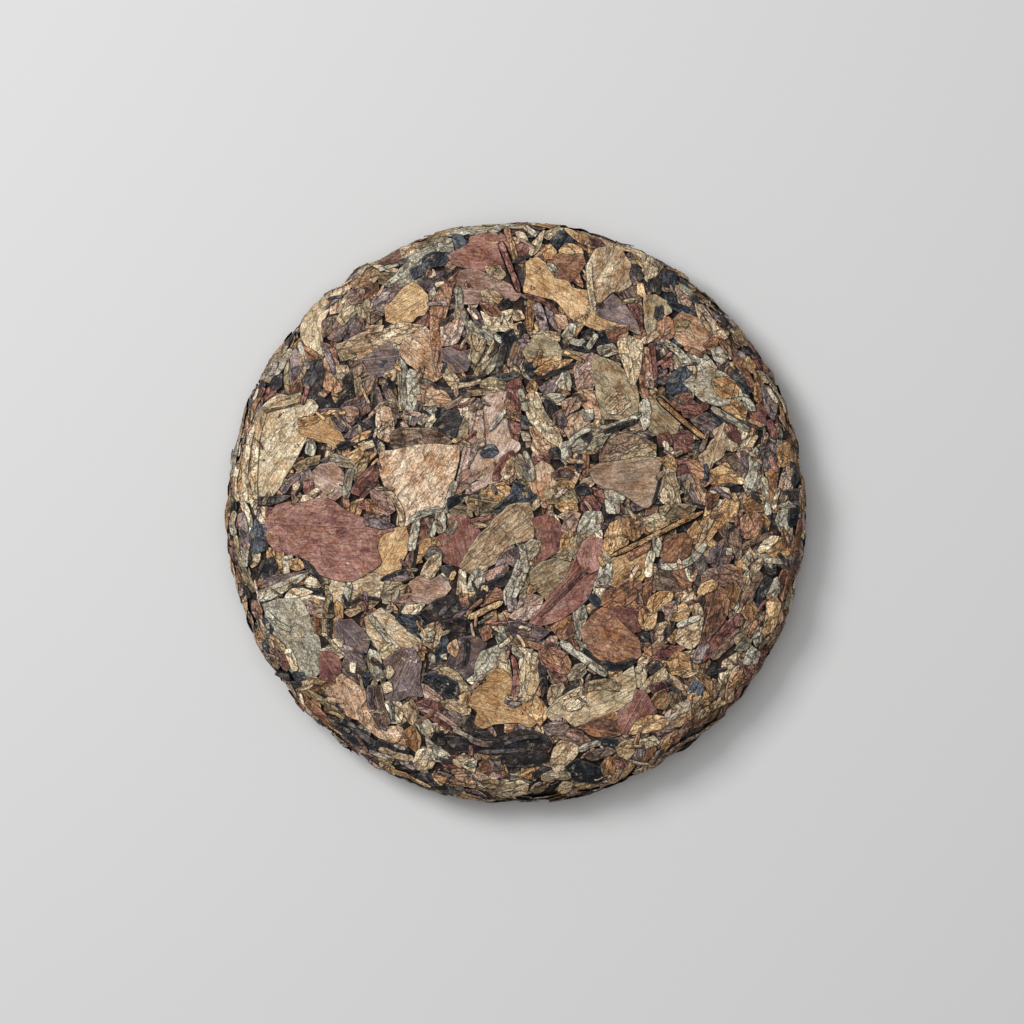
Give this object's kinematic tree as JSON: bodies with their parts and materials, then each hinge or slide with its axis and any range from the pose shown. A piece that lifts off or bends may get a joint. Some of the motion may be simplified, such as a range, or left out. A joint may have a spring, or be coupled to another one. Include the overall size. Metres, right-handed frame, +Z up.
{
  "type": "white tea cake",
  "caption": "Round cake of pressed white tea: whole and torn dried leaves and stalks pressed flat into a disc with a full round edge and a hollow in the back.",
  "frame": {"origin": "middle of the cake's box, on the plane that it rests on", "axes": "+Z up through the crowned face, +X to the right of the picture, +Y to its top"},
  "size_m": [0.2002, 0.1982, 0.0263],
  "materials": {
    "pressed_leaf": "dry, matte, mottled brown dried leaf"
  },
  "bodies": {
    "root": {"tea_cake": "pressed_leaf"}
  },
  "joints": []
}
